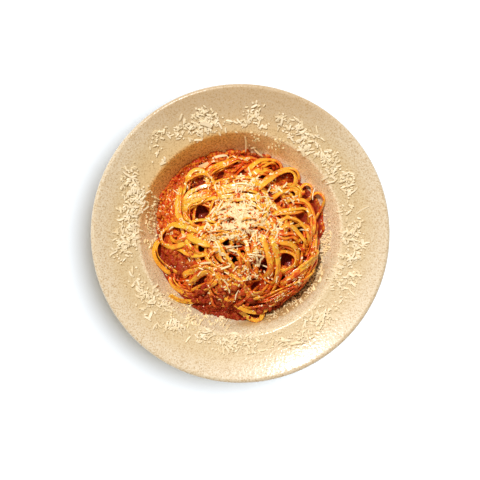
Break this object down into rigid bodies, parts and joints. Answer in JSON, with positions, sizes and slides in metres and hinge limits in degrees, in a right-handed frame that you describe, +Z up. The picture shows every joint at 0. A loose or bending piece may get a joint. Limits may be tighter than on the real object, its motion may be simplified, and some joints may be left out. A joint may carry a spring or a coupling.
{
  "type": "pasta with meat sauce in a wide-rimmed bowl",
  "caption": "Heaped long flat pasta in a chunky meat and tomato sauce, topped with grated hard cheese, in a round wide-rimmed stoneware bowl.",
  "frame": {"origin": "centre of the bowl's foot ring, on the surface that it stands on", "axes": "+Z up along the bowl's axis; the bowl is round, so +X and +Y only place the food: bare sauce shows most towards -X and +Y"},
  "size_m": [0.27, 0.27, 0.0541],
  "materials": {
    "stoneware": "semi-gloss cream glaze with fine dark specks",
    "meat_sauce": "wet, granular brown-red",
    "pasta": "cooked golden noodles with an oily sheen",
    "cheese": "matt pale shreds"
  },
  "bodies": {
    "root": {"bowl": "stoneware", "meat_sauce": "meat_sauce", "pasta": "pasta", "grated_cheese": "cheese"}
  },
  "joints": []
}
